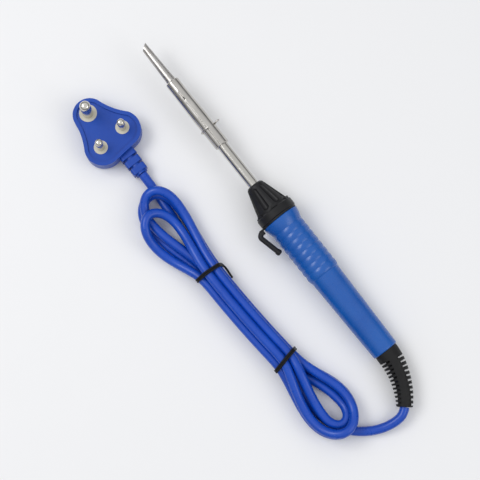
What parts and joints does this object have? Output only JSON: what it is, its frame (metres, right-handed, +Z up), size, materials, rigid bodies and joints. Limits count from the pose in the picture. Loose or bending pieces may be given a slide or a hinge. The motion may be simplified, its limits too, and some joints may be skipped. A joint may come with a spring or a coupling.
{
  "type": "soldering iron",
  "caption": "Light-duty mains soldering iron with a push-on bit on a split spring sleeve, fluted nose, hanging hook, ribbed handle and a tied cord ending in a round-pin plug.",
  "frame": {"origin": "centre of the iron's own box, without the cord and plug, on the surface that it lies on", "axes": "+X along the iron towards the bit, +Y towards the hook and the tied cord, +Z up"},
  "size_m": [0.2915, 0.0902, 0.0324],
  "materials": {
    "blue_handle": "moulded, satin gloss",
    "black_nose": "moulded phenolic, semi-matt",
    "plated_steel": "polished",
    "barrel_steel": "drawn tube",
    "bit_metal": "iron-plated copper, turned",
    "ceramic_white": "unglazed",
    "mica": "wrapped sheet",
    "resistance_wire": "close-wound",
    "brass_parts": "machined",
    "pin_metal": "nickel-plated, polished",
    "black_rubber": "moulded",
    "blue_cord": "extruded PVC sheath",
    "blue_plug": "moulded PVC",
    "cream_insert": "moulded",
    "core_red": "insulated core",
    "core_black": "insulated core",
    "core_green": "insulated core",
    "tie_black": "plastic-covered wire"
  },
  "bodies": {
    "iron": {"barrel": "barrel_steel", "barrel_flange": "barrel_steel", "cord_clamp": "black_nose", "cord_hank": "blue_cord", "cord_inner": "blue_cord", "cord_iron_run": "blue_cord", "cord_plug_inner": "blue_cord", "cord_plug_run": "blue_cord", "core_earth": "core_green", "core_live": "core_red", "core_neutral": "core_black", "earth_pin": "pin_metal", "earth_wire": "core_green", "handle": "blue_handle", "heater_core": "ceramic_white", "heater_winding": "resistance_wire", "insulator": "ceramic_white", "lead_live": "resistance_wire", "lead_neutral": "resistance_wire", "live_pin": "pin_metal", "mica_wrap": "mica", "neutral_pin": "pin_metal", "nose_cone": "black_nose", "pin_carrier": "cream_insert", "plug_body": "blue_plug", "plug_cores": "core_red", "strain_relief": "black_rubber", "terminal_block": "ceramic_white", "terminal_screws": "brass_parts", "tie_lower": "tie_black", "tie_upper": "tie_black"},
    "bit": {"bit": "bit_metal", "bit_sleeve": "plated_steel"},
    "clip": {"sleeve_clip": "plated_steel"},
    "hook": {"hook_ring": "black_nose"}
  },
  "joints": [
    {"name": "bit_slide", "type": "slide", "parent": "iron", "child": "bit", "axis": [0.9992, 0, 0.0406], "range_m": [0, 0.038]},
    {"name": "clip_slide", "type": "slide", "parent": "bit", "child": "clip", "axis": [0.9992, 0, 0.0406], "range_m": [-0.013, 0.029]},
    {"name": "hook_swivel", "type": "hinge", "parent": "iron", "child": "hook", "pos_m": [-0.01749, -0.00335, 0.01309], "axis": [0.9992, 0, 0.0406], "continuous": true}
  ]
}
